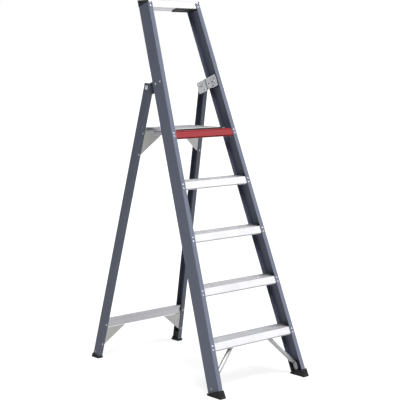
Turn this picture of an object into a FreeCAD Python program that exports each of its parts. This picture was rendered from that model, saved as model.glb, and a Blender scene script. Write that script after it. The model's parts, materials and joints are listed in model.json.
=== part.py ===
"""Folding platform step ladder with a tall hand rail, one STEP file for each piece.

Millimetres.  +Z is up, the climbing side faces -Y, the rear legs stand towards +Y and X runs across the
ladder.  The origin is on the floor, in the middle of the footprint.  Right means +X, so left and right are
those of a person who faces the climbing side.  Right-hand pieces are built and the left ones mirrored.
"""
import FreeCAD, Part
import math
import os

Vector = FreeCAD.Vector

# ---- driving dimensions -------------------------------------------------------------------------------
FRONT_LEAN = 20.0           # degrees from upright of the stiles
REAR_LEAN = 13.0            # degrees from upright of the rear legs
TAPER = 3.67                # degrees by which each stile and leg leans inwards
GAP = 0.05                  # clearance between pieces that are fastened together

STILE_HALF_WIDTH = 282.4    # outside of a stile from the middle, at the floor
STILE_DEPTH = 76.0
STILE_FLANGE = 24.0
STILE_WALL = 2.5
STILE_FOOT_Z = 36.0         # lowest front corner of the stile
STILE_TOP_Z = 1775.0        # highest front corner of the stile

LEG_DEPTH = 44.0
LEG_FLANGE = 24.0
LEG_WALL = 2.5
LEG_HALF_WIDTH = 276.5      # outside of a rear leg from the middle, at the floor
LEG_FOOT_Z = 12.0
LEG_ABOVE_PIVOT = 14.0

PIVOT_U = 122.7             # hinge axis behind the stile's front face
PIVOT_S = 1500.0            # hinge axis up along the stile
PIN_R = 5.0
BUSH_R = 8.0
RUNNING = 0.05              # radial clearance of a pin in its bush

FIRST_TREAD_Z = 233.5
TREAD_PITCH = 235.0
TREAD_COUNT = 4
TREAD_DEPTH = 80.0
NOSE_HEIGHT = 37.0          # front face of a tread, measured upright
LIP_HEIGHT = 6.5            # set-back lip at the foot of a nose
LIP_SETBACK = 3.8
GROOVE_DEPTH = 4.2          # drip groove between a nose and its lip
SKIN = 2.5                  # wall of the treads, rails and deck planks

PLATFORM_FRONT_Z = 1168.0
PLATFORM_FRONT_DEPTH = 27.0
DECK_TOP_Z = 1173.3
DECK_EDGE_HEIGHT = 11.3
DECK_RIB_HEIGHT = 23.0
DECK_HALF_WIDTH = 155.0
DECK_REAR = 712.0           # rear edge of the deck behind the stiles' front line at the floor
SIDE_RAIL_WIDTH = 8.0
DECK_AXIS_Y = 466.0
DECK_AXIS_Z = 1164.0
DECK_PIN_R = 4.0

RAIL_BOTTOM_Z = 1746.0
RAIL_DEPTH = 45.5
CAP_TOP_Z = 1781.0

BRACKET_LOW = 1470.0
BRACKET_HIGH = 1528.0
BRACKET_THICKNESS = 3.0
BRACKET_FRONT_U = 6.0
BRACKET_REAR_U = 147.0
BRACKET_JOGGLE = 3.0
BRACKET_SLOTS = ((39.0, 0.5, 15.0), (42.0, 0.14, 15.0), (66.0, 0.5, 8.0))   # u, share of the height, length

UPPER_RAIL_Z = (1133.0, 1161.7)
LOWER_RAIL_Z = (162.0, 206.0)
CROSS_RAIL_DEPTH = 22.0
CREASE_Z = 186.0            # fold along the front of the lower rail
CREASE_DEPTH = 3.4
GUSSET_THICKNESS = 2.0

BRACE_R = 9.8
BRACE_U = 50.0
BRACE_TAB = 3.5             # thickness of the brace's flattened ends
RIVET_R = 2.4

FRONT_FOOT_TOE = 5.5        # foot in front of the stile
FRONT_FOOT_HEEL = 87.0      # and from the stile's front face to the back of the foot
FRONT_FOOT_WIDTH = 30.0
FOOT_OUTSIDE = 3.0          # foot beyond the outer face
PLUG_FLOOR = 5.5            # part of the foot's plug that lies on the web
REAR_FOOT_TOE = 6.0
REAR_FOOT_HEEL = 52.0
REAR_FOOT_WIDTH = 26.0

# ---- worked-out values --------------------------------------------------------------------------------
SIN_F = math.sin(math.radians(FRONT_LEAN))
COS_F = math.cos(math.radians(FRONT_LEAN))
SIN_R = math.sin(math.radians(REAR_LEAN))
COS_R = math.cos(math.radians(REAR_LEAN))
SIN_T = math.sin(math.radians(TAPER))
COS_T = math.cos(math.radians(TAPER))

PIVOT_FROM_FRONT = PIVOT_U * COS_F + PIVOT_S * SIN_F
PIVOT_Z = PIVOT_S * COS_F - PIVOT_U * SIN_F
LEG_UP_TO_PIVOT = (PIVOT_Z - LEG_DEPTH / 2 * SIN_R) / COS_R
LEG_FROM_FRONT = PIVOT_FROM_FRONT + LEG_UP_TO_PIVOT * SIN_R - LEG_DEPTH / 2 * COS_R
FRONT_Y = -(LEG_FROM_FRONT + REAR_FOOT_HEEL - FRONT_FOOT_TOE) / 2
PIVOT_Y = FRONT_Y + PIVOT_FROM_FRONT
LEG_Y = FRONT_Y + LEG_FROM_FRONT

ACROSS = Vector(1, 0, 0)
STILE_BACK = Vector(0, COS_F, -SIN_F)
STILE_IN = Vector(-COS_T, -SIN_T * SIN_F, -SIN_T * COS_F)
STILE_UP = Vector(-SIN_T, COS_T * SIN_F, COS_T * COS_F)
LEG_BACK = Vector(0, COS_R, SIN_R)
LEG_IN = Vector(-COS_T, SIN_T * SIN_R, -SIN_T * COS_R)
LEG_UP = Vector(-SIN_T, -COS_T * SIN_R, COS_T * COS_R)

STILE_BOTTOM = STILE_FOOT_Z / (COS_T * COS_F)
STILE_TOP = STILE_TOP_Z / (COS_T * COS_F)
LEG_BOTTOM = LEG_FOOT_Z / (COS_T * COS_R)
LEG_TOP = (LEG_UP_TO_PIVOT + LEG_ABOVE_PIVOT) / COS_T
SEAT_U = STILE_WALL + GAP   # where the cross pieces touch the back of the front flange
LONG = 2500.0


# ---- frames and plain shapes --------------------------------------------------------------------------
def frame(origin, first, second, third):
    """Placement whose X, Y and Z run along three perpendicular directions."""
    matrix = FreeCAD.Matrix(first.x, second.x, third.x, origin.x,
                            first.y, second.y, third.y, origin.y,
                            first.z, second.z, third.z, origin.z,
                            0, 0, 0, 1)
    return FreeCAD.Placement(matrix)


# In these two frames X is depth from the front face, Y is inwards from the outer face, Z is up the member.
STILE = frame(Vector(STILE_HALF_WIDTH, FRONT_Y, 0), STILE_BACK, STILE_IN, STILE_UP)
LEG = frame(Vector(LEG_HALF_WIDTH, LEG_Y, 0), LEG_BACK, LEG_IN, LEG_UP)


def placed(shape, place):
    moved = shape.copy()
    moved.Placement = place.multiply(moved.Placement)
    return moved


def box(low, high):
    """Box between two corners."""
    size = [high[i] - low[i] for i in range(3)]
    return Part.makeBox(size[0], size[1], size[2], Vector(*low))


def mirrored(shape):
    """The left-hand twin of a right-hand shape."""
    return shape.mirror(Vector(0, 0, 0), ACROSS)


def both(shapes):
    """One group of the given solids and their left-hand twins."""
    solids = list(shapes) + [mirrored(shape) for shape in shapes]
    return Part.makeCompound(solids)


def prism(points, direction):
    """Closed flat outline pushed along a direction."""
    wire = Part.makePolygon(points + [points[0]])
    return Part.Face(wire).extrude(direction)


def bar_across(outline, half_length):
    """Outline of (y, z) points, y behind the stiles' front line, pushed across the ladder."""
    points = [Vector(-half_length, FRONT_Y + y, z) for y, z in outline]
    return prism(points, Vector(2 * half_length, 0, 0))


def block_yz(outline, x_low, x_high):
    """Outline of (y, z) points pushed from one x to another."""
    points = [Vector(x_low, FRONT_Y + y, z) for y, z in outline]
    return prism(points, Vector(x_high - x_low, 0, 0))


def front_face_y(z, depth=SEAT_U):
    """Where a plane parallel to the stiles' front face, set back by depth, stands at height z."""
    return z * math.tan(math.radians(FRONT_LEAN)) + depth / COS_F


def rear_face_y(z, depth=0.0):
    """The same for a plane parallel to the front face of the rear legs."""
    return LEG_FROM_FRONT - z * math.tan(math.radians(REAR_LEAN)) + depth / COS_R


def cylinder(centre, axis, radius, length):
    return Part.makeCylinder(radius, length, centre, axis)


def hollow(outer, inner):
    return outer.cut(inner)


def channel(depth, flange, wall, low, high):
    """C-section open towards the middle, with rounded outside and inside corners."""
    outer = box((0, 0, low), (depth, flange, high))
    corners = [edge for edge in outer.Edges
               if abs(edge.Vertexes[0].Z - edge.Vertexes[1].Z) > 1 and edge.CenterOfMass.y < 1]
    outer = outer.makeFillet(1.6, corners)
    inner = box((wall, wall, low - 1), (depth - wall, flange + 1, high + 1))
    corners = [edge for edge in inner.Edges
               if abs(edge.Vertexes[0].Z - edge.Vertexes[1].Z) > 1 and edge.CenterOfMass.y < wall + 1]
    inner = inner.makeFillet(0.8, corners)
    return outer.cut(inner)


def inside_stiles(shape, clearance=0.9):
    """Trim a cross piece so that it ends inside both stile channels."""
    rear_u = STILE_DEPTH - STILE_WALL - clearance
    webs = box((-100, -300, -100), (200, STILE_WALL + clearance, LONG))
    rear_flange = box((rear_u, -300, -100), (200, STILE_FLANGE + clearance, LONG))
    for solid in (webs, rear_flange):
        tool = placed(solid, STILE)
        shape = shape.cut(tool)
        shape = shape.cut(mirrored(tool))
    return shape


def inside_legs(shape, clearance=0.9):
    """Trim a cross rail so that it ends inside both leg channels."""
    tool = placed(box((-100, -300, -100), (200, LEG_WALL + clearance, LONG)), LEG)
    shape = shape.cut(tool)
    return shape.cut(mirrored(tool))


# ---- fasteners ----------------------------------------------------------------------------------------
class Rivet:
    """Domed rivet: starts on the outer surface, axis points into the joint, grip is its thickness."""

    def __init__(self, start, axis, grip, head=4.4, tail=3.4):
        self.start = start
        self.axis = axis
        self.grip = grip
        self.head = head
        self.tail = tail

    def solid(self):
        height = 0.42 * self.head
        crown = Vector(0.25 * self.head, 0, -height)
        rim = Vector(self.head, 0, -0.12 * self.head)
        bulge = Vector(0.76 * self.head, 0, -0.72 * height)
        points = [rim, Vector(self.head, 0, 0), Vector(RIVET_R, 0, 0), Vector(RIVET_R, 0, self.grip)]
        end = self.grip
        if self.tail:
            end = self.grip + 1.4
            points += [Vector(self.tail, 0, self.grip), Vector(0.7 * self.tail, 0, end)]
        points += [Vector(0, 0, end), Vector(0, 0, -height), crown]
        edges = [Part.LineSegment(points[i], points[i + 1]).toShape() for i in range(len(points) - 1)]
        edges.append(Part.Arc(crown, bulge, rim).toShape())
        section = Part.Face(Part.Wire(Part.__sortEdges__(edges)))
        turned = section.revolve(Vector(0, 0, 0), Vector(0, 0, 1), 360)
        return placed(turned, FreeCAD.Placement(self.start, FreeCAD.Rotation(Vector(0, 0, 1), self.axis)))

    def hole(self):
        start = self.start - self.axis * 4
        return cylinder(start, self.axis, RIVET_R + GAP, self.grip + 12)


def drilled(shape, rivets, twin=False):
    """Holes for rivets, and for their left-hand twins on a piece that spans the ladder."""
    for rivet in rivets:
        shape = shape.cut(rivet.hole())
        if twin:
            shape = shape.cut(mirrored(rivet.hole()))
    return shape


def at_stile(u, v, s):
    return STILE.multVec(Vector(u, v, s))


def at_leg(u, v, s):
    return LEG.multVec(Vector(u, v, s))


def flange_rivets(heights, grip):
    """Rivets through the stile's front flange at the given heights."""
    middle = STILE_FLANGE / 2
    return [Rivet(at_stile(0, middle, z / (COS_T * COS_F)), STILE_BACK, grip, tail=2.5) for z in heights]


def leg_flange_rivets(heights, extra=0.0):
    """Rivets through the leg's front flange and a gusset; extra reaches on through a rail's front wall."""
    grip = LEG_WALL + GAP + GUSSET_THICKNESS + extra
    return [Rivet(at_leg(0, LEG_FLANGE / 2, z / (COS_T * COS_R)), LEG_BACK, grip, tail=0) for z in heights]


TREAD_Z = [FIRST_TREAD_Z + i * TREAD_PITCH for i in range(TREAD_COUNT)]
NOSE_RIVETS = (9.0, 26.0)   # below the top of a nose
TREAD_RIVETS = [flange_rivets([top - drop for drop in NOSE_RIVETS], SEAT_U + SKIN) for top in TREAD_Z]
PLATFORM_RIVETS = flange_rivets([PLATFORM_FRONT_Z - drop for drop in (6.0, 21.0)], SEAT_U + SKIN)
RAIL_RIVETS = flange_rivets([RAIL_BOTTOM_Z + 9.0, RAIL_BOTTOM_Z + 25.0], SEAT_U + SKIN)

BRACKET_MIDDLE = (BRACKET_LOW + BRACKET_HIGH) / 2
PLATE_V = STILE_FLANGE + GAP
PLATE_TOP_V = PLATE_V + BRACKET_THICKNESS
BRACKET_RIVETS = [Rivet(at_stile(u, 0, BRACKET_MIDDLE), STILE_IN, PLATE_TOP_V, head=5.0, tail=4.0)
                  for u in (20.0, 55.0)]
PLATE_SCREWS = [Rivet(at_stile(u, PLATE_TOP_V, s), STILE_IN * -1, 14.0, head=3.6, tail=0)
                for u in (13.0, 70.0) for s in (BRACKET_LOW + 11, BRACKET_HIGH - 11)]

SLIP = 0.4                  # plugs and fillers are this much smaller than the channel on each side
BRACE_SEAT = STILE_WALL + SLIP + PLUG_FLOOR + GAP
BRACE_GRIP = BRACE_SEAT + BRACE_TAB
BRACE_RIVETS = [Rivet(at_stile(BRACE_U - 2, 0, STILE_BOTTOM + 16), STILE_IN, BRACE_GRIP, head=4.6)]

UPPER_GUSSET_RIVETS = leg_flange_rivets((1147.0, 1043.0))
LOWER_RAIL_RIVETS = leg_flange_rivets((177.0,), CREASE_DEPTH + SKIN)
LOWER_GUSSET_RIVETS = leg_flange_rivets((73.0,))
GUSSET_U = LEG_WALL + GAP
CROSS_RAIL_U = GUSSET_U + GUSSET_THICKNESS + GAP


def gusset_rail_rivets(places):
    """Rivets through a gusset into the front wall of a cross rail, at (x, z)."""
    rivets = []
    for x, z in places:
        start = Vector(x, FRONT_Y + rear_face_y(z, GUSSET_U), z)
        rivets.append(Rivet(start, LEG_BACK, GUSSET_THICKNESS + GAP + SKIN, head=4.8))
    return rivets


UPPER_RAIL_RIVETS = gusset_rail_rivets(((168.0, 1152.0), (150.0, 1152.0)))

REAR_FOOT_RIVET = [Rivet(at_leg(28.0, 0, LEG_BOTTOM + 14), LEG_IN, 14.0, tail=0)]


# ---- front frame --------------------------------------------------------------------------------------
def stile():
    body = placed(channel(STILE_DEPTH, STILE_FLANGE, STILE_WALL, STILE_BOTTOM, STILE_TOP), STILE)
    for rivets in TREAD_RIVETS:
        body = drilled(body, rivets)
    body = drilled(body, PLATFORM_RIVETS + RAIL_RIVETS)
    return drilled(body, BRACKET_RIVETS + BRACE_RIVETS)


def ridges(start, end, top, pitch=5.5, height=0.8):
    """Anti-slip ridges along a top face, as (y, z) points from start to end."""
    count = int((end - start) / pitch)
    points = []
    for i in range(count):
        y = start + i * pitch
        points += [(y, top - height), (y + 0.5, top), (y + 2.2, top), (y + 2.7, top - height)]
    return points


def tread(top, rivets):
    """Open-bottomed section: ridged top, nose parallel to the stile's front face, rear skirt, middle rib."""
    front = front_face_y(top)
    rear = front + TREAD_DEPTH
    low = top - NOSE_HEIGHT
    lean = math.tan(math.radians(FRONT_LEAN))
    nose_low = front - NOSE_HEIGHT * lean
    middle = front + 0.55 * TREAD_DEPTH
    outline = [(front, top)]
    outline += ridges(front + 7, rear - 4, top)
    outline += [(rear - 1.0, top), (rear, top - 1.0)]
    outline += [(rear, top - 22), (rear - 5, top - 22), (rear - 5, top - 20), (rear - 2, top - 20)]
    outline += [(rear - 2, top - SKIN - 1), (middle + 1, top - SKIN - 1)]
    outline += [(middle + 1, top - 16), (middle - 1, top - 16), (middle - 1, top - SKIN - 1)]
    inner = front + SKIN / COS_F
    outline += [(inner - (SKIN + 1) * lean, top - SKIN - 1)]
    lip = nose_low + LIP_SETBACK
    groove = lip + GROOVE_DEPTH
    outline += [(inner - (NOSE_HEIGHT - LIP_HEIGHT) * lean, low + LIP_HEIGHT)]
    outline += [(groove + 2.2, low + LIP_HEIGHT - 0.3), (groove + 2.2, low)]
    outline += [(lip + 1, low), (lip, low + 1), (lip, low + 2.6), (groove, low + 2.9)]
    outline += [(groove, low + 5.0), (front - (NOSE_HEIGHT - 5.4) * lean, low + 5.4)]
    body = bar_across(outline, STILE_HALF_WIDTH)
    return drilled(inside_stiles(body), rivets, twin=True)


def platform_front():
    """Coated hollow member across the front of the platform."""
    top = PLATFORM_FRONT_Z
    low = top - NOSE_HEIGHT
    front = front_face_y(top)
    lean = math.tan(math.radians(FRONT_LEAN))
    depth = PLATFORM_FRONT_DEPTH

    def section(inset, floor):
        high = top - inset
        high_y = front - inset * lean + inset / COS_F
        low_y = front - (NOSE_HEIGHT - floor) * lean + inset / COS_F
        across = depth - 2 * inset / COS_F
        return [(high_y, high), (high_y + across, high), (low_y + across, low + floor), (low_y, low + floor)]

    outer = bar_across(section(0, 0), STILE_HALF_WIDTH)
    along = [edge for edge in outer.Edges if abs(edge.Vertexes[0].X - edge.Vertexes[1].X) > 1]
    outer = outer.makeFillet(2.2, along)
    body = hollow(outer, bar_across(section(SKIN, LIP_HEIGHT + 1.5), STILE_HALF_WIDTH + 1))

    def rebate(bottom_z, top_z, reach):
        edges = [(front - (top - z) * lean, z) for z in (bottom_z, top_z)]
        outline = [(edges[0][0] - 1, bottom_z), (edges[0][0] + reach, bottom_z),
                   (edges[1][0] + reach, top_z), (edges[1][0] - 1, top_z)]
        return bar_across(outline, STILE_HALF_WIDTH)

    rebates = ((top - 4.2, top - 2.4, 1.7), (low - 1, low + LIP_HEIGHT, LIP_SETBACK),
               (low + 2.6, low + LIP_HEIGHT, LIP_SETBACK + GROOVE_DEPTH))
    for bottom_z, top_z, reach in rebates:
        body = body.cut(rebate(bottom_z, top_z, reach))
    return drilled(inside_stiles(body), PLATFORM_RIVETS, twin=True)


def sheet_point(u, s):
    """(y, z) of a point u behind the stiles' front face and s up along it."""
    return (u * COS_F + s * SIN_F, s * COS_F - u * SIN_F)


RAIL_LOW = (RAIL_BOTTOM_Z + SEAT_U * SIN_F) / COS_F
RAIL_HIGH = RAIL_LOW + NOSE_HEIGHT / COS_F
INSERT_X = (11.0, 141.0)
INSERT_DEPTH = (8.0, 45.0)


def top_rail():
    """Hollow rail set square between the tops of the stiles."""
    def section(inset):
        corners = [(SEAT_U + inset, RAIL_HIGH - inset), (SEAT_U + RAIL_DEPTH - inset, RAIL_HIGH - inset),
                   (SEAT_U + RAIL_DEPTH - inset, RAIL_LOW + inset), (SEAT_U + inset, RAIL_LOW + inset)]
        return [sheet_point(u, s) for u, s in corners]

    outer = bar_across(section(0), STILE_HALF_WIDTH)
    along = [edge for edge in outer.Edges if abs(edge.Vertexes[0].X - edge.Vertexes[1].X) > 1]
    outer = outer.makeFillet(2.5, along)
    body = hollow(outer, bar_across(section(SKIN), STILE_HALF_WIDTH + 1))
    return drilled(inside_stiles(body), RAIL_RIVETS, twin=True)


def rail_insert():
    """Black moulded strip under the right half of the top rail, in two butted lengths with a raised rim."""
    pads = []
    split = 85.0
    lengths = ((INSERT_X[0], split - 0.6), (split + 0.6, INSERT_X[1]))
    for x_low, x_high in lengths:
        front, rear = INSERT_DEPTH
        outline = [(front, GAP), (rear, GAP), (rear - 1, 4), (front + 1, 4)]
        groove = [(front + 7, 2.4), (rear - 7, 2.4), (rear - 7, 6), (front + 7, 6)]
        pad = block_yz([sheet_point(u, RAIL_LOW - down) for u, down in outline], x_low, x_high)
        recess = block_yz([sheet_point(u, RAIL_LOW - down) for u, down in groove], x_low + 4, x_high - 4)
        pads.append(pad.cut(recess))
    return Part.makeCompound(pads)


def stile_cap():
    """Wedge that brings the square-cut stile end level, clear of the rail, with a plug in the channel."""
    wedge = box((-0.6, -0.8, STILE_TOP + GAP), (STILE_DEPTH + 0.6, STILE_FLANGE + 0.6, STILE_TOP + 60))
    behind_rail = SEAT_U + RAIL_DEPTH + 0.8
    rail_space = box((-2, STILE_WALL, STILE_TOP - 50), (behind_rail, STILE_FLANGE + 2, STILE_TOP + 80))
    plug = box((SEAT_U + RAIL_DEPTH + 1.5, STILE_WALL + 0.4, STILE_TOP - 16),
               (STILE_DEPTH - STILE_WALL - 0.4, STILE_FLANGE - 3, STILE_TOP + 1))
    above = box((-400, FRONT_Y, CAP_TOP_Z), (400, FRONT_Y + 2000, CAP_TOP_Z + 200))
    wedge = wedge.cut(rail_space)
    return placed(wedge.fuse(plug), STILE).cut(above).removeSplitter()


def foot_outline(toe_y, heel_y, top_front, top_rear):
    """Side view of a foot: flat sole with small chamfers, top along the cut end of the member."""
    return [(toe_y + 2, 0), (heel_y - 2, 0), (heel_y, 2), (top_rear[0], top_rear[1]),
            (top_front[0], top_front[1]), (toe_y, 4)]


def front_foot():
    """Moulded foot: sole, and a plug in the channel with a rear cheek beside the brace's flat end."""
    end = STILE_BOTTOM * COS_T - GAP
    rear_top = sheet_point(STILE_DEPTH + 2.5, end)
    front_top = sheet_point(-2.5, end)
    outline = foot_outline(-FRONT_FOOT_TOE, FRONT_FOOT_HEEL, front_top, rear_top)
    sole = block_yz(outline, STILE_HALF_WIDTH - FRONT_FOOT_WIDTH, STILE_HALF_WIDTH + FOOT_OUTSIDE)
    sole = sole.cut(placed(box((-60, -60, STILE_BOTTOM - GAP), (200, 200, STILE_BOTTOM + 200)), STILE))
    front = STILE_WALL + SLIP
    rear = STILE_DEPTH - STILE_WALL - SLIP
    root = STILE_BOTTOM - 3
    floor = box((front, front, root), (rear, front + PLUG_FLOOR, STILE_BOTTOM + 44))
    cheek = box((BRACE_U + 15.5, front, root), (rear, STILE_FLANGE - 2, STILE_BOTTOM + 44))
    toe = box((front, front, root), (front + 4, STILE_FLANGE - 8, STILE_BOTTOM + 30))
    foot = sole.fuse([placed(piece, STILE) for piece in (floor, cheek, toe)])
    for i in range(3):
        middle = STILE_FLANGE / 2 + 12 * (i - 1)
        slot = box((-9, middle - 2.5, STILE_BOTTOM - 26), (-1.2, middle + 2.5, STILE_BOTTOM - 5))
        foot = foot.cut(placed(slot, STILE))
    return drilled(foot, BRACE_RIVETS).removeSplitter()


def hinge_block():
    """Filler inside the stile channel that the bracket is riveted through."""
    body = box((STILE_WALL + SLIP, STILE_WALL + GAP, BRACKET_LOW + 2),
               (STILE_DEPTH - STILE_WALL - SLIP, STILE_FLANGE, BRACKET_HIGH - 2))
    corners = [edge for edge in body.Edges if edge.Length > 50 and edge.CenterOfMass.y < STILE_WALL + 1
               and abs(edge.CenterOfMass.x - STILE_DEPTH / 2) > 30]
    body = body.makeFillet(1.0, corners)
    return drilled(placed(body, STILE), BRACKET_RIVETS + PLATE_SCREWS)


def rounded(plate, end_u, radius):
    """Round the two corners of a plate at one end."""
    corners = [edge for edge in plate.Edges if edge.Length < 4 and abs(edge.CenterOfMass.x - end_u) < 0.5]
    return plate.makeFillet(radius, corners)


def long_hole(u, v, s, length, width, depth):
    """Slot with round ends along u, cut from v inwards by depth."""
    half = length / 2 - width / 2
    body = box((u - half, v - depth, s - width / 2), (u + half, v + 1, s + width / 2))
    ends = [Part.makeCylinder(width / 2, depth + 1, Vector(u + side * half, v - depth, s), Vector(0, 1, 0))
            for side in (-1, 1)]
    return body.fuse(ends)


def hinge_bracket():
    """Pressed plate over the mouth of the stile, joggled inwards behind it to carry the pivot."""
    inner = PLATE_V
    outer = PLATE_V + BRACKET_THICKNESS
    joggle = BRACKET_JOGGLE
    front = BRACKET_FRONT_U
    rear = BRACKET_REAR_U
    outline = [(front, inner), (80, inner), (86, inner + joggle), (rear, inner + joggle),
               (rear, outer + joggle), (84.6, outer + joggle), (78.6, outer), (front, outer)]
    points = [Vector(u, v, BRACKET_LOW) for u, v in outline]
    height = BRACKET_HIGH - BRACKET_LOW
    plate = prism(points, Vector(0, 0, height))
    plate = rounded(plate, BRACKET_REAR_U, 7.0)
    plate = rounded(plate, BRACKET_FRONT_U, 3.0)
    notch = box((48, inner - 1, BRACKET_LOW - 1), (84, outer + joggle + 1, BRACKET_LOW + 3.5))
    plate = plate.cut(notch)
    for s in (BRACKET_LOW + 0.31 * height, BRACKET_LOW + 0.7 * height):
        bead = box((20, outer - 0.5, s - 4.5), (52, outer + 3.0, s + 4.5))
        rim = [edge for edge in bead.Edges if edge.CenterOfMass.y > outer + 2.9]
        plate = plate.fuse(bead.makeFillet(2.4, rim))
    for u, up, length in BRACKET_SLOTS:
        plate = plate.cut(long_hole(u, outer, BRACKET_LOW + up * height, length, 4.6, BRACKET_THICKNESS + 1))
    dish_depth = 1.4
    for s in (BRACKET_HIGH - 14.0, BRACKET_LOW + 14.0):
        mouth = outer + joggle
        dish = Part.makeCone(3.2, 5.6, dish_depth, Vector(103.0, mouth - dish_depth, s), Vector(0, 1, 0))
        plate = plate.cut(dish)
    plate = placed(plate, STILE)
    plate = drilled(plate, BRACKET_RIVETS + PLATE_SCREWS)
    return plate.cut(pivot_cylinder(PIN_R + 0.02, 100, 220))


def pivot_cylinder(radius, x_low, x_high):
    return cylinder(Vector(x_low, PIVOT_Y, PIVOT_Z), ACROSS, radius, x_high - x_low)


PLATE_X = STILE_HALF_WIDTH - PIVOT_S * math.tan(math.radians(TAPER)) - (PLATE_V + BRACKET_JOGGLE) / COS_T
LEG_X = LEG_HALF_WIDTH - LEG_UP_TO_PIVOT * math.tan(math.radians(TAPER))


def hinge_pin():
    """Headed pin: fixed in the bracket, its shank is the axle of the rear leg."""
    inner_head = PLATE_X - BRACKET_THICKNESS - 0.9
    outer_head = LEG_X + 3.2
    shank = pivot_cylinder(PIN_R, inner_head - 1.5, outer_head + 1)
    tail = pivot_cylinder(PIN_R + 2.5, inner_head - 2.5, inner_head)
    height = 3.2
    radius = 8.0
    dome_radius = (radius ** 2 + height ** 2) / (2 * height)
    ball = Part.makeSphere(dome_radius, Vector(outer_head + height - dome_radius, PIVOT_Y, PIVOT_Z))
    dome = ball.common(pivot_cylinder(radius, outer_head, outer_head + height + 1))
    bore = pivot_cylinder(3.2, inner_head - 5, inner_head + 6)
    return shank.fuse(tail).fuse(dome).cut(bore).removeSplitter()


def hinge_washer():
    """Outer washer between the pin's head and the leg."""
    low = LEG_X + 1.0
    return pivot_cylinder(11.0, low, low + 1.8).cut(pivot_cylinder(PIN_R + 0.1, low - 1, low + 4))


def hinge_bush():
    """Flanged sleeve through the leg, with its flange against the bracket."""
    low = PLATE_X + 0.9
    sleeve = pivot_cylinder(BUSH_R, low, LEG_X + 0.2)
    flange = pivot_cylinder(BUSH_R + 4, low, low + 2.0)
    return sleeve.fuse(flange).cut(pivot_cylinder(PIN_R + RUNNING, low - 1, LEG_X + 5))


BRACE_TOP_Z = FIRST_TREAD_Z - SKIN - 1 - GAP
BRACE_TAB_X = (58.0, 90.0)
BRACE_TAB_Y = FRONT_Y + front_face_y(FIRST_TREAD_Z) + 22.0
BRACE_TOP_RIVET = [Rivet(Vector(72.0, BRACE_TAB_Y, BRACE_TOP_Z - BRACE_TAB), Vector(0, 0, 1),
                         BRACE_TAB + GAP + SKIN, head=4.4, tail=0)]


def ringed_solid(rings):
    """Solid through a row of closed rings of points, with flat triangles between them."""
    count = len(rings[0])
    corners = []
    for first, second in zip(rings, rings[1:]):
        for i in range(count):
            j = (i + 1) % count
            corners.append((first[i], first[j], second[j]))
            corners.append((first[i], second[j], second[i]))
    corners += [rings[0][::-1], rings[-1]]
    faces = [Part.Face(Part.makePolygon(list(points) + [points[0]])) for points in corners]
    solid = Part.makeSolid(Part.makeShell(faces))
    if solid.Volume < 0:
        solid.reverse()
    return solid


def ring(centre, wide, thin, half_wide, half_thin, flat=1.0, count=20):
    """Ring of points about a centre: an ellipse, with its thin sides cut flat where flat is over 1."""
    points = []
    for i in range(count):
        angle = 2 * math.pi * (i + 0.5) / count
        rise = max(-1.0, min(1.0, flat * math.sin(angle)))
        points.append(centre + wide * (half_wide * math.cos(angle)) + thin * (half_thin * rise))
    return points


def brace():
    """Round tube with flattened ends, from under the lowest tread to the foot of the stile."""
    half_flat = BRACE_TAB / 2
    half_wide = 13.5
    low_v = BRACE_SEAT + half_flat
    high_z = BRACE_TOP_Z - half_flat
    low_points = [at_stile(BRACE_U, low_v, STILE_BOTTOM + up) for up in (3, 10, 38)]
    end_x, bend_x = BRACE_TAB_X
    high_points = [Vector(x, BRACE_TAB_Y, high_z) for x in (bend_x, end_x + 7, end_x)]
    run = (high_points[0] - low_points[2]).normalize()
    back = Vector(0, 1, 0)
    wide = (back - run * back.dot(run)).normalize()
    thin = run.cross(wide)
    bend = 30.0
    low_round = low_points[2] + run * bend + STILE_IN * 3
    high_round = high_points[0] - run * bend - Vector(0, 0, 4)
    down = Vector(0, 0, -1)
    rings = [ring(low_points[0], STILE_BACK, STILE_IN, half_wide - 6, half_flat, 3.0),
             ring(low_points[1], STILE_BACK, STILE_IN, half_wide, half_flat, 3.0),
             ring(low_points[2], STILE_BACK, STILE_IN, half_wide, half_flat, 3.0),
             ring(low_round, wide, thin, BRACE_R, BRACE_R),
             ring(high_round, wide, thin, BRACE_R, BRACE_R),
             ring(high_points[0], back, down, half_wide, half_flat, 3.0),
             ring(high_points[1], back, down, half_wide, half_flat, 3.0),
             ring(high_points[2], back, down, half_wide - 6, half_flat, 3.0)]
    tab_hole = cylinder(at_stile(BRACE_U - 1, BRACE_SEAT - 5, STILE_BOTTOM + 30), STILE_IN, 2.6, 20)
    return drilled(ringed_solid(rings).cut(tab_hole), BRACE_RIVETS + BRACE_TOP_RIVET)


# ---- platform -----------------------------------------------------------------------------------------
DECK_START = DECK_AXIS_Y - 5.0
PLANK_HALF = DECK_HALF_WIDTH - SIDE_RAIL_WIDTH - GAP
PLANK_SPLITS = (DECK_START, DECK_START + 81.0, DECK_START + 163.0, DECK_REAR)


def deck_cylinder(radius, x_low, x_high):
    return cylinder(Vector(x_low, FRONT_Y + DECK_AXIS_Y, DECK_AXIS_Z), ACROSS, radius, x_high - x_low)


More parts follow.
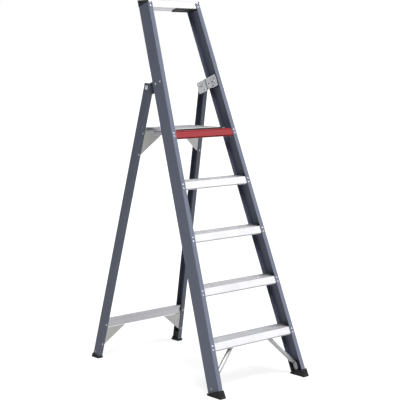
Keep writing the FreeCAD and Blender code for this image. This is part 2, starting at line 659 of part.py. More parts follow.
def plank(y_low, y_high, rear_hook=False):
    """Ridged top plate on two skirts and a rib; the rear plank bears on the rail and hooks behind it."""
    top = DECK_TOP_Z
    under = top - SKIN - 1
    low = top - DECK_RIB_HEIGHT
    edge = top - DECK_EDGE_HEIGHT
    start = y_low + GAP
    end = y_high - GAP
    outline = [(start, top - 0.8)]
    outline += ridges(start + 2, end - 2, top, pitch=6.0)
    outline += [(end, top - 0.8)]
    if rear_hook:
        hook = rear_face_y(edge - 19, CROSS_RAIL_U + CROSS_RAIL_DEPTH) + 1.5
        bearing = rear_face_y(UPPER_RAIL_Z[0], CROSS_RAIL_U) - 6.0
        outline += [(end, edge - 6), (end - 2, edge - 6), (end - 2, edge + 1.8)]
        outline += [(hook + 3, edge + 1.8), (hook + 3, edge - 19), (hook, edge - 19), (hook, edge)]
        outline += [(bearing, edge), (bearing, edge + 1.8)]
    else:
        outline += [(end, low), (end - 2, low), (end - 2, under)]
        middle = (start + end) / 2
        outline += [(middle + 1, under), (middle + 1, low + 3), (middle - 1, low + 3), (middle - 1, under)]
    outline += [(start + 2, edge + 1.8 if rear_hook else under), (start + 2, low), (start, low)]
    return drilled(bar_across(outline, PLANK_HALF), DECK_RIVETS, twin=True)


def deck_rivet(y):
    start = Vector(DECK_HALF_WIDTH, FRONT_Y + y, DECK_TOP_Z - SKIN - 3.6)
    return Rivet(start, ACROSS * -1, SIDE_RAIL_WIDTH + 0.1, head=3.2, tail=0)


DECK_RIVETS = [deck_rivet(y) for y in (DECK_START + 40, DECK_START + 122, DECK_START + 182)]


def side_rail():
    """Flat bar along the edge of the deck, with an eye at the hinge."""
    edge = DECK_TOP_Z - DECK_EDGE_HEIGHT
    outline = [(DECK_AXIS_Y, edge), (DECK_REAR, edge), (DECK_REAR, DECK_TOP_Z - 1),
               (DECK_REAR - 1, DECK_TOP_Z), (DECK_AXIS_Y, DECK_TOP_Z)]
    bar = block_yz(outline, DECK_HALF_WIDTH - SIDE_RAIL_WIDTH, DECK_HALF_WIDTH)
    eye = deck_cylinder(8.8, DECK_HALF_WIDTH - SIDE_RAIL_WIDTH, DECK_HALF_WIDTH)
    body = bar.fuse(eye).cut(deck_cylinder(DECK_PIN_R + RUNNING, 100, 200))
    return drilled(body, DECK_RIVETS).removeSplitter()


def pinch_strip():
    """Soft dark strip on the front edge of the deck, in front of the hinge gap."""
    front = DECK_START - 2.0
    low = DECK_TOP_Z - 9.5
    outline = [(front, low), (DECK_START, low), (DECK_START, DECK_TOP_Z), (front + 0.6, DECK_TOP_Z),
               (front, DECK_TOP_Z - 0.8)]
    return bar_across(outline, PLANK_HALF)


LUG_X = (DECK_HALF_WIDTH + 1.0, DECK_HALF_WIDTH + 9.0)


def hinge_lug():
    """Bearing block on the back of the platform's front member."""
    wall = front_face_y(DECK_AXIS_Z + 9, SEAT_U + PLATFORM_FRONT_DEPTH * COS_F + GAP)
    low_z = DECK_AXIS_Z - 16
    low_wall = front_face_y(low_z, SEAT_U + PLATFORM_FRONT_DEPTH * COS_F + GAP)
    top_z = PLATFORM_FRONT_Z - 1
    top_wall = front_face_y(top_z, SEAT_U + PLATFORM_FRONT_DEPTH * COS_F + GAP)
    outline = [(low_wall, low_z), (wall + 2, low_z), (DECK_AXIS_Y + 6, DECK_AXIS_Z - 6.5),
               (DECK_AXIS_Y, top_z), (top_wall, top_z)]
    arm = block_yz(outline, *LUG_X)
    body = arm.fuse(deck_cylinder(8.8, *LUG_X)).cut(deck_cylinder(DECK_PIN_R + 0.02, 100, 200))
    return body.removeSplitter()


def deck_pin():
    inner = DECK_HALF_WIDTH - SIDE_RAIL_WIDTH + 0.5
    shank = deck_cylinder(DECK_PIN_R, inner, LUG_X[1] + 1)
    head = deck_cylinder(DECK_PIN_R + 3, LUG_X[1] + GAP, LUG_X[1] + 3)
    return shank.fuse(head).removeSplitter()


# ---- rear frame ---------------------------------------------------------------------------------------
def rear_leg():
    body = placed(channel(LEG_DEPTH, LEG_FLANGE, LEG_WALL, LEG_BOTTOM, LEG_TOP), LEG)
    body = body.cut(pivot_cylinder(BUSH_R + GAP, 100, 220))
    return drilled(body, UPPER_GUSSET_RIVETS + LOWER_RAIL_RIVETS + LOWER_GUSSET_RIVETS + REAR_FOOT_RIVET)


def leg_cap():
    lid = box((-0.4, -0.6, LEG_TOP + GAP), (LEG_DEPTH + 0.4, LEG_FLANGE + 0.4, LEG_TOP + 3.2))
    rim = [edge for edge in lid.Edges if edge.CenterOfMass.z > LEG_TOP + 3]
    lid = lid.makeFillet(1.6, rim)
    front = LEG_WALL + SLIP
    plug = box((front, front, LEG_TOP - 3.5), (LEG_DEPTH - front, LEG_FLANGE - 4, LEG_TOP + 1))
    return placed(lid.fuse(plug), LEG)


def cross_rail(low_z, high_z, rivets, crease=None):
    """Hollow rail with its back parallel to the rear legs; the front may be folded inwards along a crease."""
    def section(inset):
        front = CROSS_RAIL_U + inset
        back = CROSS_RAIL_U + CROSS_RAIL_DEPTH - inset
        high = high_z - inset
        low = low_z + inset
        corners = [(front, high), (back, high), (back, low), (front, low)]
        if crease:
            corners.append((front + CREASE_DEPTH, crease))
        return [(rear_face_y(z, depth), z) for depth, z in corners]

    body = hollow(bar_across(section(0), LEG_HALF_WIDTH), bar_across(section(SKIN), LEG_HALF_WIDTH + 1))
    return drilled(inside_legs(body), rivets, twin=True)


def gusset(top_z, rail_low_z, apex_z, strip_width, reach_x, rivets):
    """Flat corner plate behind the leg's front flange, with a stiffening lip along its sloping edge."""
    def web_x(z):
        return LEG_HALF_WIDTH - z / COS_R * math.tan(math.radians(TAPER)) - (LEG_WALL + 0.9) / COS_T

    def mouth_x(z):
        return LEG_HALF_WIDTH - z / COS_R * math.tan(math.radians(TAPER)) - LEG_FLANGE / COS_T

    strip_x = mouth_x(top_z) - strip_width      # a width below 0 stays hidden behind the flange
    slope = (rail_low_z - apex_z) / (mouth_x(apex_z) - reach_x)
    toe_x = web_x(apex_z) - 6
    toe_z = apex_z - slope * (toe_x - mouth_x(apex_z))
    flat = [(web_x(top_z), top_z), (strip_x + 4, top_z), (strip_x, top_z - 6), (strip_x, rail_low_z),
            (reach_x, rail_low_z), (toe_x, toe_z), (web_x(toe_z), toe_z)]

    def plate(outline, depth):
        points = [Vector(x, FRONT_Y + rear_face_y(z, GUSSET_U), z) for x, z in outline]
        return prism(points, LEG_BACK * depth)

    body = plate(flat, GUSSET_THICKNESS)
    run = math.hypot(toe_x - reach_x, rail_low_z - toe_z)
    along = ((toe_x - reach_x) / run, (toe_z - rail_low_z) / run)
    normal = (-along[1], along[0])
    start = (reach_x + along[0] * 14, rail_low_z + along[1] * 14)
    end = (mouth_x(apex_z) - along[0] * 1, apex_z - along[1] * 1)
    lip = [start, end, (end[0] + normal[0] * 2, end[1] + normal[1] * 2),
           (start[0] + normal[0] * 2, start[1] + normal[1] * 2)]
    body = body.fuse(plate(lip, 11.0))
    return drilled(body, rivets).removeSplitter()


def rear_foot():
    """Moulded foot: sole, and a plug in the channel of the rear leg."""
    end = LEG_BOTTOM * COS_T - GAP
    front_top = (rear_face_y(0) - end * SIN_R - 2.0 * COS_R, end * COS_R - 2.0 * SIN_R)
    back = LEG_DEPTH + 2.0
    rear_top = (rear_face_y(0) - end * SIN_R + back * COS_R, end * COS_R + back * SIN_R)
    toe = LEG_FROM_FRONT - REAR_FOOT_TOE
    heel = LEG_FROM_FRONT + REAR_FOOT_HEEL
    outline = foot_outline(toe, heel, front_top, rear_top)
    sole = block_yz(outline, LEG_HALF_WIDTH - REAR_FOOT_WIDTH, LEG_HALF_WIDTH + FOOT_OUTSIDE)
    sole = sole.cut(placed(box((-60, -60, LEG_BOTTOM - GAP), (200, 200, LEG_BOTTOM + 200)), LEG))
    front = LEG_WALL + SLIP
    plug = box((front, front, LEG_BOTTOM - 2), (LEG_DEPTH - front, LEG_FLANGE - 2, LEG_BOTTOM + 40))
    return drilled(sole.fuse(placed(plug, LEG)), REAR_FOOT_RIVET).removeSplitter()


# ---- the list of pieces -------------------------------------------------------------------------------
UPPER_GUSSET = gusset(1160.5, UPPER_RAIL_Z[0] - 1.0, 1040.0, 33.0, 72.0,
                      UPPER_GUSSET_RIVETS + UPPER_RAIL_RIVETS)
LOWER_GUSSET = gusset(204.0, LOWER_RAIL_Z[0] - 2.0, 70.0, -3.0, 130.0,
                      LOWER_GUSSET_RIVETS + LOWER_RAIL_RIVETS)

PAIRS = {
    "stile": stile(),
    "stile_cap": stile_cap(),
    "front_foot": front_foot(),
    "hinge_block": hinge_block(),
    "hinge_bracket": hinge_bracket(),
    "hinge_pin": hinge_pin(),
    "hinge_washer": hinge_washer(),
    "hinge_bush": hinge_bush(),
    "brace": brace(),
    "platform_side_rail": side_rail(),
    "platform_hinge_lug": hinge_lug(),
    "platform_hinge_pin": deck_pin(),
    "rear_leg": rear_leg(),
    "rear_leg_cap": leg_cap(),
    "rear_foot": rear_foot(),
    "upper_gusset": UPPER_GUSSET,
    "lower_gusset": LOWER_GUSSET,
}

SINGLES = {
    "platform_front": platform_front(),
    "top_rail": top_rail(),
    "top_rail_insert": rail_insert(),
    "platform_plank_front": plank(PLANK_SPLITS[0], PLANK_SPLITS[1]),
    "platform_plank_middle": plank(PLANK_SPLITS[1], PLANK_SPLITS[2]),
    "platform_plank_rear": plank(PLANK_SPLITS[2], PLANK_SPLITS[3], rear_hook=True),
    "platform_pinch_strip": pinch_strip(),
    "upper_cross_rail": cross_rail(*UPPER_RAIL_Z, UPPER_RAIL_RIVETS),
    "lower_cross_rail": cross_rail(*LOWER_RAIL_Z, LOWER_RAIL_RIVETS, crease=CREASE_Z),
}
for number, (top, rivets) in enumerate(zip(TREAD_Z, TREAD_RIVETS), start=1):
    holes = rivets + BRACE_TOP_RIVET if number == 1 else rivets
    SINGLES[f"tread_{number}"] = tread(top, holes)

FASTENERS = {
    "tread_rivets": [rivet for rivets in TREAD_RIVETS for rivet in rivets],
    "platform_front_rivets": PLATFORM_RIVETS,
    "top_rail_rivets": RAIL_RIVETS,
    "bracket_rivets": BRACKET_RIVETS,
    "bracket_screws": PLATE_SCREWS,
    "brace_rivets": BRACE_RIVETS + BRACE_TOP_RIVET,
    "platform_rivets": DECK_RIVETS,
    "upper_gusset_rivets": UPPER_GUSSET_RIVETS + UPPER_RAIL_RIVETS,
    "lower_gusset_rivets": LOWER_GUSSET_RIVETS + LOWER_RAIL_RIVETS,
    "rear_foot_rivets": REAR_FOOT_RIVET,
}


def all_parts():
    parts = dict(SINGLES)
    for name, shape in PAIRS.items():
        parts[name + "_right"] = shape
        parts[name + "_left"] = mirrored(shape)
    for name, rivets in FASTENERS.items():
        parts[name] = both([rivet.solid() for rivet in rivets])
    return parts


os.makedirs("parts", exist_ok=True)
for name, shape in sorted(all_parts().items()):
    shape.exportStep(f"parts/{name}.step")
    print(name, len(shape.Solids), "valid" if shape.isValid() else "INVALID", round(shape.Volume))
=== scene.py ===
"""Looks for the folding platform step ladder: materials, added detail, floor, light and camera."""
import json
import math

import bmesh
import bpy
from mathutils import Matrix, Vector

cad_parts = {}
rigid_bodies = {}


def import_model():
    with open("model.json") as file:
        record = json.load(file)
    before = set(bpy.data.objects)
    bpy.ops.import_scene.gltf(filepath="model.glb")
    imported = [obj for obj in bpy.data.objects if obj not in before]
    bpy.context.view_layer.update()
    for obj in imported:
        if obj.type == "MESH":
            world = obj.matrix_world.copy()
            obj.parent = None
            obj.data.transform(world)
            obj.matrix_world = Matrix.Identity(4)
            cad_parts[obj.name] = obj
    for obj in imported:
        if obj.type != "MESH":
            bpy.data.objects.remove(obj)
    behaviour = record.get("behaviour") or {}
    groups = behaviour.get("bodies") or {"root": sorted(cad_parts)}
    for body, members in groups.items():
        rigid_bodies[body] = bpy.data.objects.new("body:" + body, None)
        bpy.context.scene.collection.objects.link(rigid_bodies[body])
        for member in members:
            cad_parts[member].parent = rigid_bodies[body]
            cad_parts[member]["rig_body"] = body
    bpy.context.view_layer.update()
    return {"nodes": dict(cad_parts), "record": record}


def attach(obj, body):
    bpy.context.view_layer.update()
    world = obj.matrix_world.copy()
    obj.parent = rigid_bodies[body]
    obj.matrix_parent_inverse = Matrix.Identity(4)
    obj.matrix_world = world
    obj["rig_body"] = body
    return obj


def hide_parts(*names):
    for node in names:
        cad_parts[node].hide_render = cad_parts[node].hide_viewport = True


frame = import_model()

# ---- camera --------------------------------------------------------------------------------------------
CAMERA_PLACE = Vector((-3.5730, -4.0733, 1.5181))
CAMERA_YAW = 41.45          # degrees, from +Y towards +X
CAMERA_PITCH = -7.286
CAMERA_LENS = 101.67        # mm
SENSOR_WIDTH = 36.0

# ---- light and floor -----------------------------------------------------------------------------------
DIM_SIDES = 0.17            # world light from all round, from behind the ladder and from overhead
BACKDROP = 0.95
OVERHEAD = 0.3
BACKDROP_EDGE = (0.45, 0.9)     # cosines between which the sides turn into the backdrop
OVERHEAD_EDGE = (0.55, 0.85)    # heights on the unit sphere between which the overhead light begins
FLOOR_REACH = 120.0
FLOOR_GLOW = 0.72
FLOOR_TONES = ((0.20, 0.20, 0.20), (0.22, 0.22, 0.22))
LAMPS = (                       # name, direction it shines from, spread in degrees, strength
    ("front", (-0.10, -0.42, 0.90), 40.0, 6.75),
    ("front_right", (0.66, -0.65, 0.37), 44.0, 1.12),
)

# ---- the object ----------------------------------------------------------------------------------------
FRONT_LEAN = 20.0           # degrees from upright, as in the CAD
REAR_LEAN = 13.0
SLATE = (0.0690, 0.0790, 0.1120)
RED = (0.164, 0.0092, 0.0138)
REAR_PAINTED_SHADE = 0.74           # of the slate, on the rear legs: painted shade, as they lean the other way and face a little down
SLATE_GLOSS = 0.3
DARK_TOP = (0.52, 0.54, 0.58)   # share of its colour that an upward face keeps where it is darkest: painted shade on tread tops, which take less light than the noses
ACROSS = (3.0, 520.0, 520.0)    # texture scale for die lines that run across the ladder
SHEET_GRAIN = (60.0, 60.0, 60.0)
TUBE_GRAIN = (90.0, 90.0, 90.0)
PAINTED_EDGE = 0.0012       # radius in metres at which an edge catches the light
METAL_EDGE = 0.0008
MERGE_DISTANCE = 0.00002    # points of a CAD mesh nearer than this are one point
FLAT_TURN = 1.0             # degrees: faces that turn less are one flat face
BEVEL_TURN = 30.0           # edges that turn more are rounded
MOULDED_TURN = 40.0         # edges that turn more stay sharp in the shading
TUBE_TURN = 50.0


# ---- node helpers --------------------------------------------------------------------------------------
class Nodes:
    """A material's node tree with short calls for the nodes used here."""

    def __init__(self, name):
        self.material = bpy.data.materials.new(name)
        self.material.use_nodes = True
        self.tree = self.material.node_tree
        self.shader = self.tree.nodes["Principled BSDF"]

    def add(self, kind, **values):
        node = self.tree.nodes.new(kind)
        for key, value in values.items():
            setattr(node, key, value)
        return node

    def link(self, source, target):
        self.tree.links.new(source, target)

    def math(self, operation, first, second, clamp=False):
        node = self.add("ShaderNodeMath", operation=operation, use_clamp=clamp)
        for socket, value in zip(node.inputs, (first, second)):
            if isinstance(value, (int, float)):
                socket.default_value = value
            else:
                self.link(value, socket)
        return node.outputs[0]

    def place(self, turn=(0, 0, 0), scale=(1, 1, 1)):
        """The piece's own coordinates, turned in degrees and then scaled."""
        where = self.add("ShaderNodeTexCoord").outputs["Object"]
        turned = self.add("ShaderNodeMapping")
        turned.inputs["Rotation"].default_value = [math.radians(a) for a in turn]
        self.link(where, turned.inputs["Vector"])
        scaled = self.add("ShaderNodeMapping")
        scaled.inputs["Scale"].default_value = scale
        self.link(turned.outputs[0], scaled.inputs["Vector"])
        return scaled.outputs[0]

    def noise(self, where, scale, detail=3.0, rough=0.5):
        node = self.add("ShaderNodeTexNoise")
        node.inputs["Scale"].default_value = scale
        node.inputs["Detail"].default_value = detail
        node.inputs["Roughness"].default_value = rough
        self.link(where, node.inputs["Vector"])
        return node.outputs["Fac"]

    def span(self, value, low, high, out_low=0.0, out_high=1.0):
        node = self.add("ShaderNodeMapRange")
        limits = (("From Min", low), ("From Max", high), ("To Min", out_low), ("To Max", out_high))
        for key, number in limits:
            node.inputs[key].default_value = number
        self.link(value, node.inputs["Value"])
        return node.outputs[0]

    def blend(self, amount, first, second):
        """Colour mix: first where amount is 0, second where it is 1."""
        node = self.add("ShaderNodeMix", data_type="RGBA")
        for socket, value in ((node.inputs[0], amount), (node.inputs[6], first), (node.inputs[7], second)):
            if isinstance(value, (tuple, list)):
                socket.default_value = (*value, 1.0)
            elif isinstance(value, (int, float)):
                socket.default_value = value
            else:
                self.link(value, socket)
        return node.outputs[2]

    def edges(self, radius):
        """Rounded normal for sharp edges, and a mask that is 1 on them."""
        bevel = self.add("ShaderNodeBevel", samples=6)
        bevel.inputs["Radius"].default_value = radius
        flat = self.add("ShaderNodeNewGeometry").outputs["Normal"]
        dot = self.add("ShaderNodeVectorMath", operation="DOT_PRODUCT")
        self.link(bevel.outputs[0], dot.inputs[0])
        self.link(flat, dot.inputs[1])
        return bevel.outputs[0], self.span(dot.outputs["Value"], 0.995, 0.88)

    def facing_up(self):
        """A mask that is 1 on level faces that look up."""
        normal = self.add("ShaderNodeSeparateXYZ")
        self.link(self.add("ShaderNodeNewGeometry").outputs["Normal"], normal.inputs[0])
        return self.span(normal.outputs["Z"], 0.9, 0.99)

    def bump(self, height, strength, distance, normal=None):
        node = self.add("ShaderNodeBump")
        node.inputs["Strength"].default_value = strength
        node.inputs["Distance"].default_value = distance
        self.link(height, node.inputs["Height"])
        if normal is not None:
            self.link(normal, node.inputs["Normal"])
        return node.outputs[0]

    def finish(self, colour, roughness, normal, metallic=0.0, **sockets):
        self.link(colour, self.shader.inputs["Base Color"])
        if isinstance(roughness, (int, float)):
            self.shader.inputs["Roughness"].default_value = roughness
        else:
            self.link(roughness, self.shader.inputs["Roughness"])
        self.link(normal, self.shader.inputs["Normal"])
        self.shader.inputs["Metallic"].default_value = metallic
        for key, value in sockets.items():
            self.shader.inputs[key.replace("_", " ")].default_value = value
        return self.material


def scaled(colour, factor):
    return tuple(min(1.0, c * factor) for c in colour)


# Colour of upward faces darkened as painted shade.
def darkened_top(colour):
    return tuple(c * kept for c, kept in zip(colour, DARK_TOP))


# ---- finishes ------------------------------------------------------------------------------------------
def coated(name, colour, turn, roughness=0.42, gloss=SLATE_GLOSS):
    """Powder coat: fine orange peel, slow shade drift, light scuffs along the member, rubbed edges
    lightened further as a painted highlight.
    """
    n = Nodes(name)
    plain = n.place()
    along = n.place(turn, (260, 260, 5))
    cloud = n.noise(plain, 5.0, 4.0)
    peel = n.noise(plain, 900.0, 2.0)
    scuff = n.noise(along, 1.0, 3.0, 0.6)
    normal, edge = n.edges(PAINTED_EDGE)
    tone = n.blend(n.span(cloud, 0.3, 0.7), scaled(colour, 0.93), scaled(colour, 1.06))
    marks = n.span(scuff, 0.62, 0.8, 0.0, 0.35)
    tone = n.blend(marks, tone, scaled(colour, 1.35))
    # Edges: rubbed paint, brightened further as a painted highlight.
    rubbed_and_lit = n.math("MULTIPLY", edge, n.span(n.noise(plain, 55.0, 4.0), 0.42, 0.62, 0.35, 1.0))
    tone = n.blend(n.math("MULTIPLY", rubbed_and_lit, 0.75), tone, scaled(colour, 1.5))
    satin = n.span(cloud, 0.3, 0.7, roughness - 0.04, roughness + 0.05)
    rough = n.math("ADD", satin, n.math("MULTIPLY", marks, 0.2))
    return n.finish(tone, rough, n.bump(peel, 0.12, 0.0003, normal),
                    Specular_IOR_Level=gloss, Coat_Weight=0.06, Coat_Roughness=0.3)


def drawn_aluminium(name, colour, scale, roughness=0.36, contrast=0.07, top_shade=0.0):
    """Aluminium: die lines along the length, faint oxide clouds, a painted highlight on the edges, a top
    darkened as painted shade.
    """
    n = Nodes(name)
    plain = n.place()
    die = n.noise(n.place(scale=scale), 1.0, 4.0, 0.65)
    cloud = n.noise(plain, 9.0, 5.0, 0.6)
    speck = n.noise(plain, 420.0, 2.0)
    normal, edge = n.edges(METAL_EDGE)
    tone = n.blend(n.span(die, 0.3, 0.7), scaled(colour, 1.0 - contrast), scaled(colour, 1.0 + contrast))
    tone = n.blend(n.span(cloud, 0.45, 0.75, 0.0, 0.22), tone, scaled(colour, 0.8))
    # Painted shade: upward faces darker than the faces that look forward.
    if top_shade:
        tone = n.blend(n.math("MULTIPLY", n.facing_up(), top_shade), tone, darkened_top(colour))
    # Painted highlight on the edges.
    tone = n.blend(n.math("MULTIPLY", edge, 0.5), tone, scaled(colour, 1.25))
    drawn = n.span(die, 0.3, 0.7, roughness - 0.07, roughness + 0.07)
    rough = n.math("ADD", drawn, n.span(cloud, 0.3, 0.8, 0.0, 0.08))
    fine = n.math("ADD", die, n.math("MULTIPLY", speck, 0.3))
    return n.finish(tone, rough, n.bump(fine, 0.14, 0.0003, normal), metallic=1.0)


def plated_steel(name, colour, roughness=0.33):
    """Zinc plate: crystal patches, fine scratches in no one direction, rubbed edges lightened further as a
    painted highlight.
    """
    n = Nodes(name)
    plain = n.place()
    crystal = n.add("ShaderNodeTexVoronoi", feature="F1")
    crystal.inputs["Scale"].default_value = 120.0
    n.link(plain, crystal.inputs["Vector"])
    grain = n.span(crystal.outputs["Color"], 0.0, 1.0)
    fine = n.noise(plain, 700.0, 3.0)
    normal, edge = n.edges(METAL_EDGE)
    tone = n.blend(grain, scaled(colour, 0.86), scaled(colour, 1.08))
    tone = n.blend(n.span(n.noise(plain, 30.0, 4.0), 0.5, 0.8, 0.0, 0.3), tone, scaled(colour, 0.7))
    # Edges: rubbed, and brightened as a painted highlight.
    tone = n.blend(n.math("MULTIPLY", edge, 0.6), tone, scaled(colour, 1.3))
    rough = n.span(grain, 0.0, 1.0, roughness - 0.05, roughness + 0.08)
    return n.finish(tone, rough, n.bump(fine, 0.1, 0.0002, normal), metallic=1.0)


def moulded(name, colour, roughness, grain=520.0, depth=0.25, dust=0.25, gloss=0.5):
    """Moulded plastic or rubber: fine texture, dusty clouds, edges paled as a painted highlight."""
    n = Nodes(name)
    plain = n.place()
    fine = n.noise(plain, grain, 3.0, 0.6)
    cloud = n.noise(plain, 28.0, 5.0, 0.65)
    normal, edge = n.edges(PAINTED_EDGE)
    tone = n.blend(n.span(fine, 0.35, 0.65), scaled(colour, 0.85), scaled(colour, 1.15))
    tone = n.blend(n.span(cloud, 0.5, 0.8, 0.0, dust), tone, scaled(colour, 2.4))
    # Painted highlight on the edges.
    tone = n.blend(n.math("MULTIPLY", edge, 0.5), tone, scaled(colour, 2.2))
    rough = n.span(cloud, 0.3, 0.8, roughness - 0.06, roughness + 0.1)
    return n.finish(tone, rough, n.bump(fine, depth, 0.0004, normal), Specular_IOR_Level=gloss)


FINISH = {
    "stile_coating": coated("slate powder coat", SLATE, (-FRONT_LEAN, 0, 0)),
    "red_coating": coated("red powder coat", RED, (0, 90, 0), roughness=0.5, gloss=0.25),
    "tread_aluminium": drawn_aluminium("tread aluminium", (0.46, 0.46, 0.475), ACROSS, 0.38, top_shade=0.6),
    "deck_aluminium": drawn_aluminium("deck aluminium", (0.36, 0.36, 0.38), ACROSS, 0.42),
    "rail_aluminium": drawn_aluminium("mill aluminium", (0.49, 0.49, 0.515), ACROSS),
    "rivet_aluminium": plated_steel("bright rivet", (0.40, 0.41, 0.43), 0.34),
    "bracket_steel": plated_steel("zinc bracket", (0.5, 0.51, 0.53), 0.36),
    "plated_steel": plated_steel("zinc fastener", (0.6, 0.6, 0.62), 0.28),
    "black_plastic": moulded("black moulding", (0.010, 0.010, 0.012), 0.5, dust=0.12, gloss=0.2),
    "foot_rubber": moulded("black rubber", (0.009, 0.009, 0.010), 0.6, 380.0, 0.4, 0.15, 0.16),
    "nylon": moulded("natural nylon", (0.55, 0.53, 0.48), 0.42, 420.0, 0.15, 0.1),
}


def dress(piece, material):
    piece.data.materials.clear()
    piece.data.materials.append(material)


SLOT = {part["node"]: part["material_slot"] for part in frame["record"]["subparts"]}
for name, slot_name in SLOT.items():
    dress(frame["nodes"][name], FINISH[slot_name])

# Pieces that differ a little from the rest of their slot; the cross rails, rear legs and front plank only
# as painted shade and painted light.
SHEET = drawn_aluminium("gusset sheet", (0.39, 0.39, 0.38), SHEET_GRAIN, 0.5, 0.05)
# Upper cross rail: darker as painted shade from the deck above.
UPPER_RAIL_IN_SHADE = drawn_aluminium("upper rail aluminium painted shade", (0.36, 0.36, 0.375), ACROSS, 0.42)
# Lower cross rail: darker as painted shade.
LOWER_RAIL_SHADED = drawn_aluminium("lower rail aluminium painted shade", (0.42, 0.42, 0.445), ACROSS)
# Rear legs: the same slate coat, darkened as painted shade.
REAR_SHADED_COAT = coated("rear leg powder coat painted shade", scaled(SLATE, REAR_PAINTED_SHADE), (REAR_LEAN, 0, 0))
# Front plank: brighter than the deck as painted light.
FRONT_PLANK_LIT = drawn_aluminium("front plank aluminium painted light", (0.56, 0.56, 0.575), ACROSS)
TUBE = drawn_aluminium("brace tube", (0.38, 0.38, 0.385), TUBE_GRAIN, 0.6, 0.05)
for side in ("left", "right"):
    dress(frame["nodes"]["upper_gusset_" + side], SHEET)
    dress(frame["nodes"]["lower_gusset_" + side], SHEET)
    dress(frame["nodes"]["brace_" + side], TUBE)
    dress(frame["nodes"]["rear_leg_" + side], REAR_SHADED_COAT)
dress(frame["nodes"]["platform_plank_front"], FRONT_PLANK_LIT)
dress(frame["nodes"]["upper_cross_rail"], UPPER_RAIL_IN_SHADE)
dress(frame["nodes"]["lower_cross_rail"], LOWER_RAIL_SHADED)


# ---- rounded mouldings and tubes -----------------------------------------------------------------------
def softened(name, radius, smooth_turn=MOULDED_TURN):
    """A copy of a CAD piece with its edges rounded or its facets smoothed, in place of the sharp one."""
    source = frame["nodes"][name]
    mesh = source.data.copy()
    work = bmesh.new()
    work.from_mesh(mesh)
    bmesh.ops.remove_doubles(work, verts=work.verts, dist=MERGE_DISTANCE)
    flat = math.radians(FLAT_TURN)
    bmesh.ops.dissolve_limit(work, angle_limit=flat, verts=work.verts, edges=work.edges)
    work.to_mesh(mesh)
    work.free()
    if "custom_normal" in mesh.attributes:
        mesh.attributes.remove(mesh.attributes["custom_normal"])
    mesh.shade_smooth()
    mesh.set_sharp_from_angle(angle=math.radians(smooth_turn))
    piece = bpy.data.objects.new(name + ".soft", mesh)
    bpy.context.scene.collection.objects.link(piece)
    if radius:
        bevel = piece.modifiers.new("rounding", "BEVEL")
        bevel.width = radius
        bevel.segments = 3
        bevel.limit_method = "ANGLE"
        bevel.angle_limit = math.radians(BEVEL_TURN)
        bevel.harden_normals = True
    dress(piece, source.data.materials[0])
    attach(piece, source["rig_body"])
    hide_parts(name)


for side in ("left", "right"):
    softened("front_foot_" + side, 0.0005)
    softened("rear_foot_" + side, 0.0008)
    softened("stile_cap_" + side, 0.0006)
    softened("platform_hinge_lug_" + side, 0.0006)
    softened("brace_" + side, 0.0, TUBE_TURN)


# ---- stage ---------------------------------------------------------------------------------------------
def plain_floor():
    """Wide pale floor."""
    mesh = bpy.data.meshes.new("floor")
    corners = [(FLOOR_REACH * x, FLOOR_REACH * y, 0) for x, y in ((-1, -1), (1, -1), (1, 1), (-1, 1))]
    mesh.from_pydata(corners, [], [(0, 1, 2, 3)])
    floor = bpy.data.objects.new("floor", mesh)
    bpy.context.scene.collection.objects.link(floor)
    n = Nodes("pale floor")
    speck = n.noise(n.place(), 60.0, 3.0)
    tone = n.blend(n.span(speck, 0.3, 0.7), *FLOOR_TONES)
    dress(floor, n.finish(tone, 0.9, n.bump(speck, 0.02, 0.001),
                          Specular_IOR_Level=0.0, Emission_Strength=FLOOR_GLOW))


def ramp(tree, value, edge, low, high):
    """Smooth change from low to high as the value crosses the edge's two limits."""
    node = tree.nodes.new("ShaderNodeMapRange")
    node.interpolation_type = "SMOOTHSTEP"
    for key, number in (("From Min", edge[0]), ("From Max", edge[1]), ("To Min", low), ("To Max", high)):
        node.inputs[key].default_value = number
    tree.links.new(value, node.inputs["Value"])
    return node.outputs[0]


def combined(tree, operation, first, second):
    node = tree.nodes.new("ShaderNodeMath")
    node.operation = operation
    tree.links.new(first, node.inputs[0])
    tree.links.new(second, node.inputs[1])
    return node.outputs[0]


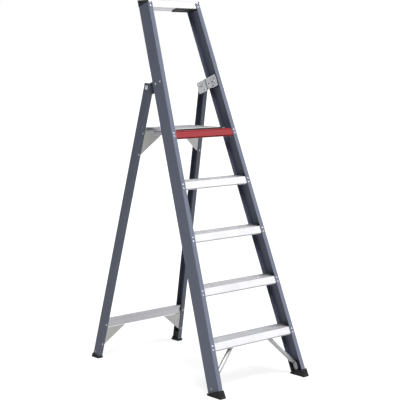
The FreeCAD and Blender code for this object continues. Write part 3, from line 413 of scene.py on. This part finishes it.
def sweep_of_light():
    """World light: seen as plain white, it lights the object more from behind and above than the sides."""
    world = bpy.data.worlds.new("studio")
    world.use_nodes = True
    tree = world.node_tree
    where = tree.nodes.new("ShaderNodeTexCoord").outputs["Generated"]
    toward = tree.nodes.new("ShaderNodeVectorMath")
    toward.operation = "DOT_PRODUCT"
    toward.inputs[1].default_value = (math.sin(yaw), math.cos(yaw), 0)
    tree.links.new(where, toward.inputs[0])
    height = tree.nodes.new("ShaderNodeSeparateXYZ")
    tree.links.new(where, height.inputs[0])
    behind = ramp(tree, toward.outputs["Value"], BACKDROP_EDGE, DIM_SIDES, BACKDROP)
    above = ramp(tree, height.outputs["Z"], OVERHEAD_EDGE, 0.0, OVERHEAD)
    light = combined(tree, "ADD", behind, above)
    seen = tree.nodes.new("ShaderNodeLightPath").outputs["Is Camera Ray"]
    tree.links.new(combined(tree, "MAXIMUM", light, seen), tree.nodes["Background"].inputs["Strength"])
    tree.nodes["Background"].inputs["Color"].default_value = (1.0, 1.0, 1.0, 1.0)
    bpy.context.scene.world = world


def far_light(name, place, spread, strength):
    """Even light from one side, as wide as a large diffuser."""
    lamp = bpy.data.lights.new(name, "SUN")
    lamp.angle = math.radians(spread)
    lamp.energy = strength
    holder = bpy.data.objects.new(name, lamp)
    holder.rotation_mode = "QUATERNION"
    holder.rotation_quaternion = (-Vector(place)).to_track_quat("-Z", "Y")
    bpy.context.scene.collection.objects.link(holder)


yaw = math.radians(CAMERA_YAW)
plain_floor()
sweep_of_light()
for settings in LAMPS:
    far_light(*settings)
bpy.context.scene.view_settings.view_transform = "Standard"

# ---- picture -------------------------------------------------------------------------------------------
pitch = math.radians(CAMERA_PITCH)
look = Vector((math.sin(yaw) * math.cos(pitch), math.cos(yaw) * math.cos(pitch), math.sin(pitch)))
lens = bpy.data.cameras.new("camera")
lens.lens = CAMERA_LENS
lens.sensor_width = SENSOR_WIDTH
camera = bpy.data.objects.new("camera", lens)
camera.location = CAMERA_PLACE
camera.rotation_mode = "QUATERNION"
camera.rotation_quaternion = look.to_track_quat("-Z", "Y")
bpy.context.scene.collection.objects.link(camera)
bpy.context.scene.camera = camera
